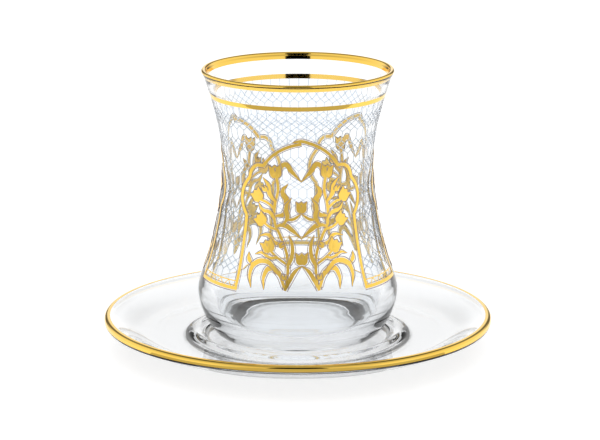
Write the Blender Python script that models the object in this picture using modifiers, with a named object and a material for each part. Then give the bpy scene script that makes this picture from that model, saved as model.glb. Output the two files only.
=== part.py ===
"""A pinched-waist tea glass standing on its saucer, both of clear glass with gold trim.

The origin is on the floor under the middle of the saucer, +Z is up and the front is -Y.
"""

import math

import bpy
import bmesh

MM = 0.001

# How finely round shapes are cut, and the gap that touching pieces keep.
TURN_STEPS = 60
GAP = 0.3 * MM
GOLD_THICKNESS = 0.2 * MM

# Saucer, measured from the floor up.
SAUCER_RADIUS = 63.4 * MM
SAUCER_HEIGHT = 11.5 * MM
SAUCER_EDGE_THICKNESS = 2.6 * MM
SAUCER_GOLD_WIDTH = 1.9 * MM
SAUCER_GOLD_HEIGHT = 1.8 * MM
WELL_RADIUS = 47.0 * MM
WELL_HEIGHT = 5.7 * MM
PLATE_THICKNESS = 2.6 * MM
SEAT_RADIUS = 30.0 * MM
SEAT_HEIGHT = 4.4 * MM
RING_RADIUS = 33.6 * MM
RING_WIDTH = 4.6 * MM
RING_FLAT_WIDTH = 2.0 * MM
RING_HOLLOW = 1.5 * MM
RING_CHAMFER = 0.7 * MM
RING_CHAMFER_HEIGHT = 0.5 * MM
SEAT_END = 1.2 * MM
SEAT_ROUND = 1.6 * MM
RIDGE_INSET = 0.8 * MM
RIDGE_LIFT = 0.6 * MM
RIDGE_ROUND = 1.3 * MM
STEP_REACH = 2.4 * MM
STEP_LIFT = 0.7 * MM
EDGE_ROUND = 0.4 * MM
EDGE_TUCK = 0.5 * MM

# Tea glass. Its foot stands on the seat of the saucer.
GLASS_BASE = SEAT_HEIGHT + GAP
RIM_HEIGHT = 92.6 * MM
RIM_RADIUS = 31.1 * MM
RIM_FLARE = 0.35
WAIST_HEIGHT = 62.5 * MM
WAIST_RADIUS = 24.45 * MM
SHOULDER_HEIGHT = 31.5 * MM
SHOULDER_RADIUS = 29.2 * MM
SHOULDER_FLARE = -0.29
BULGE_HEIGHT = 19.5 * MM
BULGE_RADIUS = 32.6 * MM
FOOT_RADIUS = 24.2 * MM
FOOT_RING_WIDTH = 3.2 * MM
FOOT_HOLLOW = 0.8 * MM
HEEL_PULL = 4.1 * MM
HEEL_LIFT = 5.0 * MM

# Inside of the glass.
RIM_WALL = 1.5 * MM
WAIST_WALL = 1.9 * MM
SHOULDER_WALL = 3.8 * MM
INNER_SHOULDER_FLARE = -0.27
BULGE_WALL = 4.2 * MM
INNER_BULGE_HEIGHT = 21.0 * MM
INNER_FLOOR_HEIGHT = 7.2 * MM
INNER_FLOOR_RADIUS = 17.5 * MM
INNER_CORNER_PULL = 4.0 * MM
INNER_CORNER_DROP = 9.0 * MM

# Gold bands of the glass.
LIP_BAND_OUTSIDE = 1.8 * MM
LIP_BAND_INSIDE = 2.2 * MM
SECOND_BAND_TOP = 85.4 * MM
SECOND_BAND_HEIGHT = 1.5 * MM

# Gold line that frames the three arches and joins them along the foot of the panels.
ARCH_COUNT = 3
ARCH_TURN = math.radians(2.6)
FRAME_WIDTH = 1.0 * MM
FRAME_THICKNESS = 0.25 * MM
LEG_HALF_ANGLE = math.radians(42.0)
LEG_FOOT_HEIGHT = 25.8 * MM
LEG_TOP_HEIGHT = 48.9 * MM
SIDE_LOBE_TOP_HEIGHT = 61.0 * MM
SIDE_LOBE_INSET = 0.5 * MM
SIDE_LOBE_BULGE = 2.7 * MM
SHOULDER_LOBE_BULGE = 1.6 * MM
CUSP_ANGLE = math.radians(28.6)
CUSP_HEIGHT = 65.4 * MM
APEX_HEIGHT = 73.0 * MM
APEX_LOBE_BULGE = 1.5 * MM
LONGEST_MITRE = 1.4

GLASS_COLOUR = (0.93, 0.96, 0.97, 1.0)
GOLD_COLOUR = (0.83, 0.60, 0.22, 1.0)


def clear_scene():
    for item in list(bpy.data.objects):
        bpy.data.objects.remove(item, do_unlink=True)


def make_material(name, colour, roughness, metallic, transmission=0.0):
    material = bpy.data.materials.new(name)
    material.use_nodes = True
    shader = material.node_tree.nodes["Principled BSDF"]
    shader.inputs["Base Color"].default_value = colour
    shader.inputs["Roughness"].default_value = roughness
    shader.inputs["Metallic"].default_value = metallic
    shader.inputs["Transmission Weight"].default_value = transmission
    return material


def add_object(name, mesh, material, collection):
    item = bpy.data.objects.new(name, mesh)
    item.data.materials.append(material)
    collection.objects.link(item)
    return item


def ease(height, low, high):
    """Radius between two stations (height, radius, slope), as a cubic that keeps both slopes."""
    span = high[0] - low[0]
    t = (height - low[0]) / span
    keep_low = 1 - 3 * t ** 2 + 2 * t ** 3
    low_slope = t ** 3 - 2 * t ** 2 + t
    high_slope = t ** 3 - t ** 2
    radius = low[1] * keep_low + high[1] * (1 - keep_low)
    return radius + span * (low[2] * low_slope + high[2] * high_slope)


def bezier(start, pull_start, pull_end, end, steps):
    """Points of one cubic curve through start and end."""
    points = []
    for step in range(steps + 1):
        t = step / steps
        s = 1 - t
        weights = (s ** 3, 3 * s ** 2 * t, 3 * s * t ** 2, t ** 3)
        corners = (start, pull_start, pull_end, end)
        points.append(tuple(sum(w * c[k] for w, c in zip(weights, corners)) for k in (0, 1)))
    return points


def arc(centre, radius, start, end, steps):
    """Points on a circle, from one angle to another in degrees."""
    points = []
    for step in range(steps + 1):
        angle = math.radians(start + (end - start) * step / steps)
        points.append((centre[0] + radius * math.cos(angle), centre[1] + radius * math.sin(angle)))
    return points


OUTER_STATIONS = (
    (BULGE_HEIGHT, BULGE_RADIUS, 0.0),
    (SHOULDER_HEIGHT, SHOULDER_RADIUS, SHOULDER_FLARE),
    (WAIST_HEIGHT, WAIST_RADIUS, 0.0),
    (RIM_HEIGHT, RIM_RADIUS, RIM_FLARE),
)
INNER_STATIONS = (
    (INNER_BULGE_HEIGHT, BULGE_RADIUS - BULGE_WALL, 0.0),
    (SHOULDER_HEIGHT, SHOULDER_RADIUS - SHOULDER_WALL, INNER_SHOULDER_FLARE),
    (WAIST_HEIGHT, WAIST_RADIUS - WAIST_WALL, 0.0),
    (RIM_HEIGHT, RIM_RADIUS - RIM_WALL, RIM_FLARE),
)


LIP_CENTRE = (RIM_RADIUS - RIM_WALL / 2, RIM_HEIGHT - RIM_WALL / 2)


def side_radius(stations, height):
    for low, high in zip(stations, stations[1:]):
        if height <= high[0]:
            return ease(height, low, high)
    return stations[-1][1]


def glass_outside(height):
    """Outer radius of the glass above its bulge."""
    return side_radius(OUTER_STATIONS, height)


def glass_inside(height):
    """Inner radius of the glass above its inner bulge."""
    return side_radius(INNER_STATIONS, height)


def spaced(low, high, count):
    return [low + (high - low) * step / count for step in range(count + 1)]


def heel_points():
    """Rounded heel of the glass, from the bulge down to the flat foot."""
    foot = (FOOT_RADIUS, GLASS_BASE)
    foot_pull = (FOOT_RADIUS + HEEL_PULL, GLASS_BASE)
    bulge_pull = (BULGE_RADIUS, BULGE_HEIGHT - HEEL_LIFT)
    return bezier((BULGE_RADIUS, BULGE_HEIGHT), bulge_pull, foot_pull, foot, 7)


def glass_profile():
    """Section of the tea glass: up its inside, over the lip, down its outside to the foot."""
    sink = GAP + GOLD_THICKNESS
    inner_band_foot = RIM_HEIGHT - LIP_BAND_INSIDE - GAP
    outer_band_foot = RIM_HEIGHT - LIP_BAND_OUTSIDE - GAP
    groove_top = SECOND_BAND_TOP + GAP
    groove_foot = SECOND_BAND_TOP - SECOND_BAND_HEIGHT - GAP

    inner_bulge = (BULGE_RADIUS - BULGE_WALL, INNER_BULGE_HEIGHT)
    corner_low = (INNER_FLOOR_RADIUS + INNER_CORNER_PULL, INNER_FLOOR_HEIGHT)
    corner_high = (inner_bulge[0], INNER_BULGE_HEIGHT - INNER_CORNER_DROP)
    profile = [(0.0, INNER_FLOOR_HEIGHT)]
    profile += bezier((INNER_FLOOR_RADIUS, INNER_FLOOR_HEIGHT), corner_low, corner_high, inner_bulge, 6)
    profile += [(glass_inside(h), h) for h in spaced(INNER_BULGE_HEIGHT, inner_band_foot, 8)[1:]]
    profile.append((glass_inside(inner_band_foot) + sink, inner_band_foot))
    profile += arc(LIP_CENTRE, RIM_WALL / 2 - sink, 180, 0, 4)
    profile.append((glass_outside(outer_band_foot) - sink, outer_band_foot))
    profile.append((glass_outside(outer_band_foot), outer_band_foot))
    profile.append((glass_outside(groove_top), groove_top))
    profile.append((glass_outside(groove_top) - sink, groove_top))
    profile.append((glass_outside(groove_foot) - sink, groove_foot))
    profile.append((glass_outside(groove_foot), groove_foot))
    profile += [(glass_outside(h), h) for h in spaced(groove_foot, BULGE_HEIGHT, 10)[1:-1]]
    profile += heel_points()
    profile.append((FOOT_RADIUS - FOOT_RING_WIDTH, GLASS_BASE))
    profile.append((FOOT_RADIUS - FOOT_RING_WIDTH - FOOT_HOLLOW, GLASS_BASE + FOOT_HOLLOW))
    profile.append((0.0, GLASS_BASE + FOOT_HOLLOW))
    return profile


def lip_band_profile():
    """Gold that wraps the lip, inside and outside, as a closed section."""
    outer_foot = RIM_HEIGHT - LIP_BAND_OUTSIDE
    inner_foot = RIM_HEIGHT - LIP_BAND_INSIDE
    profile = [(glass_inside(inner_foot), inner_foot)]
    profile += arc(LIP_CENTRE, RIM_WALL / 2, 180, 0, 4)
    profile.append((glass_outside(outer_foot), outer_foot))
    profile.append((glass_outside(outer_foot) - GOLD_THICKNESS, outer_foot))
    profile += arc(LIP_CENTRE, RIM_WALL / 2 - GOLD_THICKNESS, 0, 180, 4)
    profile.append((glass_inside(inner_foot) + GOLD_THICKNESS, inner_foot))
    return profile


def second_band_profile():
    """Thin gold ring below the lip, flush with the outside of the glass."""
    foot = SECOND_BAND_TOP - SECOND_BAND_HEIGHT
    return [
        (glass_outside(SECOND_BAND_TOP), SECOND_BAND_TOP),
        (glass_outside(foot), foot),
        (glass_outside(foot) - GOLD_THICKNESS, foot),
        (glass_outside(SECOND_BAND_TOP) - GOLD_THICKNESS, SECOND_BAND_TOP),
    ]


def saucer_profile():
    """Section of the saucer: out along its top, round the edge, back along its underside."""
    sink = GAP + GOLD_THICKNESS
    gold_inner = SAUCER_RADIUS - SAUCER_GOLD_WIDTH - GAP
    gold_foot = SAUCER_HEIGHT - SAUCER_GOLD_HEIGHT - GAP
    edge_foot = SAUCER_HEIGHT - SAUCER_EDGE_THICKNESS
    top_edge = SAUCER_HEIGHT - sink
    belly = WELL_HEIGHT - PLATE_THICKNESS

    profile = [(0.0, SEAT_HEIGHT), (SEAT_RADIUS - SEAT_END, SEAT_HEIGHT)]
    profile += arc((SEAT_RADIUS, SEAT_HEIGHT + SEAT_ROUND), SEAT_ROUND, -70, -20, 2)
    profile += arc((RING_RADIUS - RIDGE_INSET, SEAT_HEIGHT + RIDGE_LIFT), RIDGE_ROUND, 130, 50, 3)
    profile.append((RING_RADIUS + STEP_REACH, SEAT_HEIGHT + STEP_LIFT))
    rise_start = (WELL_RADIUS, WELL_HEIGHT)
    rise_low = (WELL_RADIUS + 5.0 * MM, WELL_HEIGHT + 0.6 * MM)
    rise_high = (gold_inner - 4.5 * MM, SAUCER_HEIGHT - 1.9 * MM)
    profile += bezier(rise_start, rise_low, rise_high, (gold_inner, SAUCER_HEIGHT), 6)
    profile.append((gold_inner, top_edge))
    profile.append((SAUCER_RADIUS - sink - EDGE_ROUND, top_edge))
    profile.append((SAUCER_RADIUS - sink, top_edge - EDGE_ROUND))
    profile.append((SAUCER_RADIUS - sink, gold_foot))
    profile.append((SAUCER_RADIUS, gold_foot))
    profile.append((SAUCER_RADIUS - EDGE_TUCK, edge_foot))
    drop_start = (SAUCER_RADIUS - 2.0 * MM, edge_foot - EDGE_TUCK)
    drop_high = (SAUCER_RADIUS - 6.0 * MM, edge_foot - 1.8 * MM)
    drop_low = (WELL_RADIUS + 5.5 * MM, belly + 0.2 * MM)
    profile += bezier(drop_start, drop_high, drop_low, (WELL_RADIUS, belly), 5)
    ring_outer = RING_RADIUS + RING_WIDTH / 2
    ring_inner = RING_RADIUS - RING_WIDTH / 2
    half_flat = RING_FLAT_WIDTH / 2
    profile.append((ring_outer + RIDGE_INSET, belly - RING_CHAMFER_HEIGHT))
    profile.append((ring_outer - RING_CHAMFER / 3, belly - SEAT_END))
    profile.append((ring_outer - RING_CHAMFER, RING_CHAMFER_HEIGHT))
    profile.append((RING_RADIUS + half_flat, 0.0))
    profile.append((RING_RADIUS - half_flat, 0.0))
    profile.append((ring_inner + RING_CHAMFER, RING_CHAMFER_HEIGHT))
    profile.append((ring_inner, RING_HOLLOW))
    profile.append((0.0, RING_HOLLOW))
    return profile


def saucer_band_profile():
    """Gold on the rim of the saucer: over the top of the edge and down its outside."""
    inner = SAUCER_RADIUS - SAUCER_GOLD_WIDTH
    foot = SAUCER_HEIGHT - SAUCER_GOLD_HEIGHT
    under = SAUCER_HEIGHT - GOLD_THICKNESS
    round_radius = EDGE_ROUND + GOLD_THICKNESS / 2
    round_centre = (SAUCER_RADIUS - round_radius, SAUCER_HEIGHT - round_radius)
    return [
        (inner, SAUCER_HEIGHT),
        *arc(round_centre, round_radius, 90, 0, 2),
        (SAUCER_RADIUS, foot),
        (SAUCER_RADIUS - GOLD_THICKNESS, foot),
        (SAUCER_RADIUS - GOLD_THICKNESS, under - EDGE_ROUND),
        (SAUCER_RADIUS - GOLD_THICKNESS - EDGE_ROUND, under),
        (inner, under),
    ]


def turned(name, profile, material, collection, closed=False):
    """Turn a section round the Z axis with a Screw modifier."""
    mesh = bpy.data.meshes.new(name)
    corners = [(radius, 0.0, height) for radius, height in profile]
    edges = [(index, index + 1) for index in range(len(corners) - 1)]
    if closed:
        edges.append((len(corners) - 1, 0))
    mesh.from_pydata(corners, edges, [])
    item = add_object(name, mesh, material, collection)
    screw = item.modifiers.new("turn", "SCREW")
    screw.axis = "Z"
    screw.angle = math.tau
    screw.steps = TURN_STEPS
    screw.render_steps = TURN_STEPS
    screw.use_merge_vertices = True
    screw.merge_threshold = 0.00001
    screw.use_smooth_shade = True
    return item


def lobe(start, end, bulge, steps):
    """Arc between two points (across, height), bulging to the left of its way by the amount given."""
    across = (end[0] - start[0], end[1] - start[1])
    length = math.hypot(*across)
    left = (-across[1] / length, across[0] / length)
    points = []
    for step in range(1, steps + 1):
        t = step / steps
        rise = 4 * t * (1 - t) * bulge
        points.append((start[0] + across[0] * t + left[0] * rise, start[1] + across[1] * t + left[1] * rise))
    return points


def arch_half():
    """Right half of one arch from the foot of its leg to its apex, as (across at the waist, height)."""
    leg_across = LEG_HALF_ANGLE * WAIST_RADIUS
    foot = (leg_across, LEG_FOOT_HEIGHT)
    leg_top = (leg_across, LEG_TOP_HEIGHT)
    lobe_top = (leg_across - SIDE_LOBE_INSET, SIDE_LOBE_TOP_HEIGHT)
    cusp = (CUSP_ANGLE * WAIST_RADIUS, CUSP_HEIGHT)
    apex = (0.0, APEX_HEIGHT)
    points = [(leg_across, h) for h in spaced(foot[1], leg_top[1], 3)]
    points += lobe(leg_top, lobe_top, -SIDE_LOBE_BULGE, 5)
    points += lobe(lobe_top, cusp, -SHOULDER_LOBE_BULGE, 5)
    points += lobe(cusp, apex, -APEX_LOBE_BULGE, 5)
    return points


def frame_path():
    """Whole gold line round the glass as (angle, height): arches joined along the feet of the panels."""
    right = [(across / WAIST_RADIUS, height) for across, height in arch_half()]
    left = [(-angle, height) for angle, height in right]
    one_arch = left + right[::-1][1:]
    third = math.tau / ARCH_COUNT
    panel = third - 2 * LEG_HALF_ANGLE
    foot_line = [(LEG_HALF_ANGLE + panel * step / 5, LEG_FOOT_HEIGHT) for step in range(1, 5)]
    path = []
    for index in range(ARCH_COUNT):
        turn = ARCH_TURN + index * third
        path += [(angle + turn, height) for angle, height in one_arch + foot_line]
    return path


def on_glass(angle, height, lift):
    """Point at an angle from the front (-Y) and a height on the glass, lifted off its surface."""
    step = 0.1 * MM
    slope = (glass_outside(height + step) - glass_outside(height - step)) / (2 * step)
    length = math.hypot(1.0, slope)
    radius = glass_outside(height) + lift / length
    return (radius * math.sin(angle), -radius * math.cos(angle), height - lift * slope / length)


def frame_mesh():
    """Flat strip that follows the frame line round the glass, built as one closed loft."""
    path = frame_path()
    count = len(path)
    form = bmesh.new()
    rings = []
    for index, (angle, height) in enumerate(path):
        before = path[index - 1]
        after = path[(index + 1) % count]
        radius = glass_outside(height)
        ways = []
        for start, end in ((before, (angle, height)), ((angle, height), after)):
            turn = (end[0] - start[0] + math.pi) % math.tau - math.pi
            way = (turn * radius, end[1] - start[1])
            size = math.hypot(*way)
            ways.append((way[0] / size, way[1] / size))
        mean = (ways[0][0] + ways[1][0], ways[0][1] + ways[1][1])
        size = math.hypot(*mean)
        side = (-mean[1] / size, mean[0] / size)
        mitre = min(LONGEST_MITRE, 2 / size)
        half = FRAME_WIDTH / 2 * mitre
        corners = []
        for way, lift in ((1, GAP), (-1, GAP), (-1, GAP + FRAME_THICKNESS), (1, GAP + FRAME_THICKNESS)):
            at_angle = angle + way * side[0] * half / radius
            at_height = height + way * side[1] * half
            corners.append(form.verts.new(on_glass(at_angle, at_height, lift)))
        rings.append(corners)
    for index in range(count):
        near = rings[index]
        far = rings[(index + 1) % count]
        for k in range(4):
            n = (k + 1) % 4
            form.faces.new((near[k], near[n], far[n], far[k]))
    bmesh.ops.recalc_face_normals(form, faces=form.faces)
    mesh = bpy.data.meshes.new("gold_arch_frame")
    form.to_mesh(mesh)
    form.free()
    return mesh


def main():
    clear_scene()
    collection = bpy.data.collections.new("tea_glass_and_saucer")
    bpy.context.scene.collection.children.link(collection)
    clear_glass = make_material("clear_glass", GLASS_COLOUR, 0.02, 0.0, 1.0)
    gold = make_material("gold", GOLD_COLOUR, 0.18, 1.0)
    turned("saucer", saucer_profile(), clear_glass, collection)
    turned("tea_glass", glass_profile(), clear_glass, collection)
    turned("gold_saucer_rim", saucer_band_profile(), gold, collection, closed=True)
    turned("gold_lip", lip_band_profile(), gold, collection, closed=True)
    turned("gold_ring", second_band_profile(), gold, collection, closed=True)
    add_object("gold_arch_frame", frame_mesh(), gold, collection)


main()
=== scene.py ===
"""Looks of a pinched-waist tea glass on its saucer: clear glass, fired gold and etched net.

Everything is in metres in the frame of the CAD model: +Z up, the floor at zero, the front at -Y.
"""

import math

import bpy
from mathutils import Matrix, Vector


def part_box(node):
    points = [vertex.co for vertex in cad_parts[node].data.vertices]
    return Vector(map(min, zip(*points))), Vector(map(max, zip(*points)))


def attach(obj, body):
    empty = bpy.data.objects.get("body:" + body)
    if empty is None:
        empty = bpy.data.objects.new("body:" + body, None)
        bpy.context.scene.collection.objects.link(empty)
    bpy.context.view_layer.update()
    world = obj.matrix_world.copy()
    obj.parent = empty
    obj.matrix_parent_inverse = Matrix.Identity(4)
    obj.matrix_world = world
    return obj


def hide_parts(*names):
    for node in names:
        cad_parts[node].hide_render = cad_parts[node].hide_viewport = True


bl_info = {
    "name": "Tea Glass and Saucer",
    "version": (1, 0, 0),
    "blender": (4, 5, 0),
    "location": "View3D > Sidebar > Tea Glass",
    "description": "Builds a gilded tea glass on its saucer, piece by piece",
    "category": "Add Mesh",
}

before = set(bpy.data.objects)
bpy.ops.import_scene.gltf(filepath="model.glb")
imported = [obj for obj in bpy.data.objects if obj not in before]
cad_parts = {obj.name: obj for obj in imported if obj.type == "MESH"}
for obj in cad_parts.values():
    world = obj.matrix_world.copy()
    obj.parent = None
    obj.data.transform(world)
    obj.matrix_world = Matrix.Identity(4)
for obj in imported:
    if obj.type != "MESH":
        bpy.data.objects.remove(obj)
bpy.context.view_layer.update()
MM = 0.001
TURN = math.tau
MERGE = 1e-6

# Places that the CAD model settles.
SAUCER_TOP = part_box("gold_saucer_rim")[1].z
SAUCER_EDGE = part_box("gold_saucer_rim")[1].x
GLASS_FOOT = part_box("tea_glass")[0].z
LIP_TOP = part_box("gold_lip")[1].z
LIP_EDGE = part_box("gold_lip")[1].x
RING_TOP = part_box("gold_ring")[1].z
RING_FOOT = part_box("gold_ring")[0].z


def length_prop(name, description, default, low=0.0):
    return bpy.props.FloatProperty(
        name=name, description=description, default=default, min=low, unit="LENGTH", precision=5
    )


def angle_prop(name, description, degrees):
    return bpy.props.FloatProperty(
        name=name, description=description, default=math.radians(degrees), unit="ROTATION"
    )


def count_prop(name, description, default):
    return bpy.props.IntProperty(name=name, description=description, default=default, min=1)


def colour_prop(name, description, default):
    return bpy.props.FloatVectorProperty(
        name=name, description=description, default=default, size=3, min=0.0, max=1.0, subtype="COLOR"
    )


class GlassSizes(bpy.types.PropertyGroup):
    """Sizes of the tea glass."""

    steps: count_prop("Turning steps", "Faces round a turned piece", 192)
    waist_height: length_prop("Waist height", "Height of the narrowest place", 62.5 * MM)
    waist_radius: length_prop("Waist radius", "Outer radius at the waist", 24.45 * MM)
    shoulder_height: length_prop("Shoulder height", "Where the side turns into the bulge", 31.5 * MM)
    shoulder_radius: length_prop("Shoulder radius", "Outer radius at the shoulder", 29.2 * MM)
    bulge_height: length_prop("Bulge height", "Height of the widest place", 19.5 * MM)
    bulge_radius: length_prop("Bulge radius", "Outer radius of the bulge", 32.6 * MM)
    foot_radius: length_prop("Foot radius", "Radius of the flat foot", 24.2 * MM)
    rim_wall: length_prop("Lip wall", "Thickness of the glass at the lip", 1.5 * MM)
    waist_wall: length_prop("Waist wall", "Thickness of the glass at the waist", 1.9 * MM)
    shoulder_wall: length_prop("Shoulder wall", "Thickness at the shoulder", 3.8 * MM)
    bulge_wall: length_prop("Bulge wall", "Thickness at the bulge", 4.2 * MM)
    inner_bulge_height: length_prop("Inner bulge", "Height of the widest place inside", 21.0 * MM)
    inner_floor_height: length_prop("Inner floor", "Height of the floor inside", 7.2 * MM)
    inner_floor_radius: length_prop("Inner floor radius", "Radius of the flat floor inside", 17.5 * MM)


class SaucerSizes(bpy.types.PropertyGroup):
    """Sizes of the saucer."""

    edge_thickness: length_prop("Edge", "Height of the saucer's edge", 2.6 * MM)
    well_radius: length_prop("Well radius", "Where the rise to the rim begins", 47.0 * MM)
    well_height: length_prop("Well height", "Top of the well", 5.7 * MM)
    plate: length_prop("Plate", "Thickness of the plate", 2.6 * MM)
    seat_radius: length_prop("Seat radius", "Radius of the flat seat", 30.0 * MM)
    seat_height: length_prop("Seat height", "Top of the seat, just under the foot of the glass", 4.62 * MM)
    ring_radius: length_prop("Foot ring radius", "Middle of the foot ring", 33.6 * MM)
    ring_width: length_prop("Foot ring width", "Width of the foot ring", 4.6 * MM)
    ring_flat: length_prop("Foot ring flat", "Width of the flat it stands on", 2.0 * MM)


class GoldSizes(bpy.types.PropertyGroup):
    """Sizes of the fired gold."""

    coat: length_prop("Coat", "How far the gold stands proud of the glass", 0.04 * MM)
    sink: length_prop("Sink", "How far the gold reaches into the glass", 0.05 * MM)
    lip_outside: length_prop("Lip outside", "Height of the lip band outside", 1.8 * MM)
    lip_inside: length_prop("Lip inside", "Height of the lip band inside", 2.2 * MM)
    saucer_width: length_prop("Saucer band", "Width of the gold on the top of the saucer's rim", 1.9 * MM)
    saucer_drop: length_prop("Saucer drop", "Height of the gold on the outside of its edge", 1.8 * MM)
    relief: length_prop("Relief", "Height of the raised gold lines of the arches", 0.16 * MM)
    gap: length_prop("Clear gap", "Width of the clear gap round the line work", 0.2 * MM)
    # The edge is a line of painted shade, a clear gap away from the gold.
    edge_shade_width: length_prop("Painted edge shade", "Width of the painted shade edge outside the clear gap", 0.24 * MM)
    line: length_prop("Arch line", "Width of the line that frames an arch", 1.0 * MM)


class OrnamentSizes(bpy.types.PropertyGroup):
    """Layout of the arches and the net."""

    flat_radius: length_prop("Drawing radius", "Radius where the flat drawing is at true width", 26.5 * MM)
    arches: count_prop("Arches", "Arches round the glass", 3)
    arch_turn: angle_prop("Arch turn", "How far the front arch stands to the right of the front", 2.6)
    leg_angle: angle_prop("Leg angle", "Half of the angle between the legs of an arch", 42.0)
    leg_foot: length_prop("Leg foot", "Height of the foot of a leg", 25.8 * MM)
    leg_top: length_prop("Leg top", "Height where a leg turns into the side lobe", 48.9 * MM)
    lobe_top: length_prop("Side lobe top", "Height where the side lobe ends", 61.0 * MM)
    cusp_angle: angle_prop("Cusp angle", "Half of the angle between the cusps", 28.6)
    cusp_height: length_prop("Cusp height", "Height of the cusps", 65.4 * MM)
    apex_height: length_prop("Apex height", "Height of the top of an arch", 73.0 * MM)
    net_lines: count_prop("Net lines", "Upright lines of the net", 54)
    net_upright: length_prop("Net upright", "Height of the upright part of a mesh", 3.0 * MM)
    net_slant: length_prop("Net slant", "Height of the slanting part of a mesh", 4.6 * MM)
    net_width: length_prop("Net line", "Width of an etched line", 0.32 * MM)


class Finishes(bpy.types.PropertyGroup):
    """Colours of the materials."""

    glass: colour_prop("Glass", "Tint of the tea glass", (0.972, 0.986, 1.0))
    saucer: colour_prop("Saucer glass", "Tint of the saucer", (0.975, 0.988, 1.0))
    gold: colour_prop("Gold", "Colour of the polished gold", (1.0, 0.70, 0.16))
    gold_deep: colour_prop("Deep gold", "Colour of the thicker gold", (0.97, 0.60, 0.09))
    etched: colour_prop("Etched", "Colour of the etched net", (0.80, 0.86, 0.93))
    # Edge colour: painted shade for the dark refraction at the clear raised borders round the gold.
    pale: colour_prop("Painted edge shade", "Colour of the painted shade edge round the gold", (0.40, 0.30, 0.27))
    floor: colour_prop("Floor", "Colour of the floor", (0.5, 0.5, 0.5))


class TeaGlassSettings(bpy.types.PropertyGroup):
    """All settings of the tea glass."""

    glass: bpy.props.PointerProperty(type=GlassSizes)
    saucer: bpy.props.PointerProperty(type=SaucerSizes)
    gold: bpy.props.PointerProperty(type=GoldSizes)
    ornament: bpy.props.PointerProperty(type=OrnamentSizes)
    finish: bpy.props.PointerProperty(type=Finishes)


# Curves and outlines.


def bezier(start, pull_start, pull_end, end, steps):
    """Points of one cubic curve, without its first point."""
    points = []
    for step in range(1, steps + 1):
        t = step / steps
        s = 1 - t
        weights = (s ** 3, 3 * s ** 2 * t, 3 * s * t ** 2, t ** 3)
        corners = (start, pull_start, pull_end, end)
        points.append(tuple(sum(w * c[k] for w, c in zip(weights, corners)) for k in (0, 1)))
    return points


def arc(centre, radius, start, end, steps):
    """Points on a circle, from one angle to another in degrees."""
    points = []
    for step in range(steps + 1):
        angle = math.radians(start + (end - start) * step / steps)
        points.append((centre[0] + radius * math.cos(angle), centre[1] + radius * math.sin(angle)))
    return points


def spaced(low, high, count):
    return [low + (high - low) * step / count for step in range(count + 1)]


def flat_run(height, radius, parts):
    """Points at one height, at the given parts of a radius."""
    return [(radius * part, height) for part in parts]


def ease(height, low, high):
    """Radius between two stations (height, radius, slope), as a cubic that keeps both slopes."""
    span = high[0] - low[0]
    t = (height - low[0]) / span
    keep_low = 1 - 3 * t ** 2 + 2 * t ** 3
    low_slope = t ** 3 - 2 * t ** 2 + t
    high_slope = t ** 3 - t ** 2
    radius = low[1] * keep_low + high[1] * (1 - keep_low)
    return radius + span * (low[2] * low_slope + high[2] * high_slope)


# Slopes of the side, as change of radius with height.
RIM_FLARE = 0.35
SHOULDER_FLARE = -0.29
INNER_SHOULDER_FLARE = -0.27


def outside_stations(sizes):
    """Stations (height, radius, slope) of the outside of the glass, from the bulge to the lip."""
    return (
        (sizes.bulge_height, sizes.bulge_radius, 0.0),
        (sizes.shoulder_height, sizes.shoulder_radius, SHOULDER_FLARE),
        (sizes.waist_height, sizes.waist_radius, 0.0),
        (LIP_TOP, LIP_EDGE, RIM_FLARE),
    )


def inside_stations(sizes):
    """Stations of the inside of the glass."""
    return (
        (sizes.inner_bulge_height, sizes.bulge_radius - sizes.bulge_wall, 0.0),
        (sizes.shoulder_height, sizes.shoulder_radius - sizes.shoulder_wall, INNER_SHOULDER_FLARE),
        (sizes.waist_height, sizes.waist_radius - sizes.waist_wall, 0.0),
        (LIP_TOP, LIP_EDGE - sizes.rim_wall, RIM_FLARE),
    )


def side_radius(stations, height):
    for low, high in zip(stations, stations[1:]):
        if height <= high[0]:
            return ease(height, low, high)
    return stations[-1][1]


def lip_centre(sizes):
    return (LIP_EDGE - sizes.rim_wall / 2, LIP_TOP - sizes.rim_wall / 2)


# Modelling steps.


def to_object_mode():
    """Leave edit mode with nothing selected."""
    if bpy.context.object and bpy.context.object.mode != "OBJECT":
        bpy.ops.object.mode_set(mode="OBJECT")
    bpy.ops.object.select_all(action="DESELECT")


def select_only(*pieces):
    to_object_mode()
    for piece in pieces:
        piece.select_set(True)
    bpy.context.view_layer.objects.active = pieces[0]


def apply_place(piece):
    select_only(piece)
    bpy.ops.object.transform_apply(location=True, rotation=True, scale=True)


def draw_section(name, points):
    """Draw a section (radius, height): a small plane is merged to one vertex, which is extruded on."""
    to_object_mode()
    bpy.ops.mesh.primitive_plane_add(size=MM, location=(0, 0, 0))
    piece = bpy.context.object
    piece.name = name
    piece.data.name = name
    bpy.ops.object.mode_set(mode="EDIT")
    bpy.ops.mesh.select_all(action="SELECT")
    bpy.ops.mesh.merge(type="CENTER")
    bpy.ops.transform.translate(value=(points[0][0], 0, points[0][1]))
    for before, after in zip(points, points[1:]):
        way = (after[0] - before[0], 0, after[1] - before[1])
        bpy.ops.mesh.extrude_region_move(TRANSFORM_OT_translate={"value": way})
    return piece


def turn_section(piece, steps, smooth_degrees=50):
    """Spin the drawn section round the Z axis and close its seam and poles."""
    bpy.ops.mesh.select_all(action="SELECT")
    bpy.ops.mesh.spin(steps=steps, angle=TURN, center=(0, 0, 0), axis=(0, 0, 1))
    bpy.ops.mesh.select_all(action="SELECT")
    bpy.ops.mesh.remove_doubles(threshold=MERGE)
    bpy.ops.mesh.normals_make_consistent(inside=False)
    bpy.ops.object.mode_set(mode="OBJECT")
    bpy.ops.object.shade_smooth_by_angle(angle=math.radians(smooth_degrees))
    return piece


def turned(name, points, steps, smooth_degrees=50):
    return turn_section(draw_section(name, points), steps, smooth_degrees)


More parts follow.
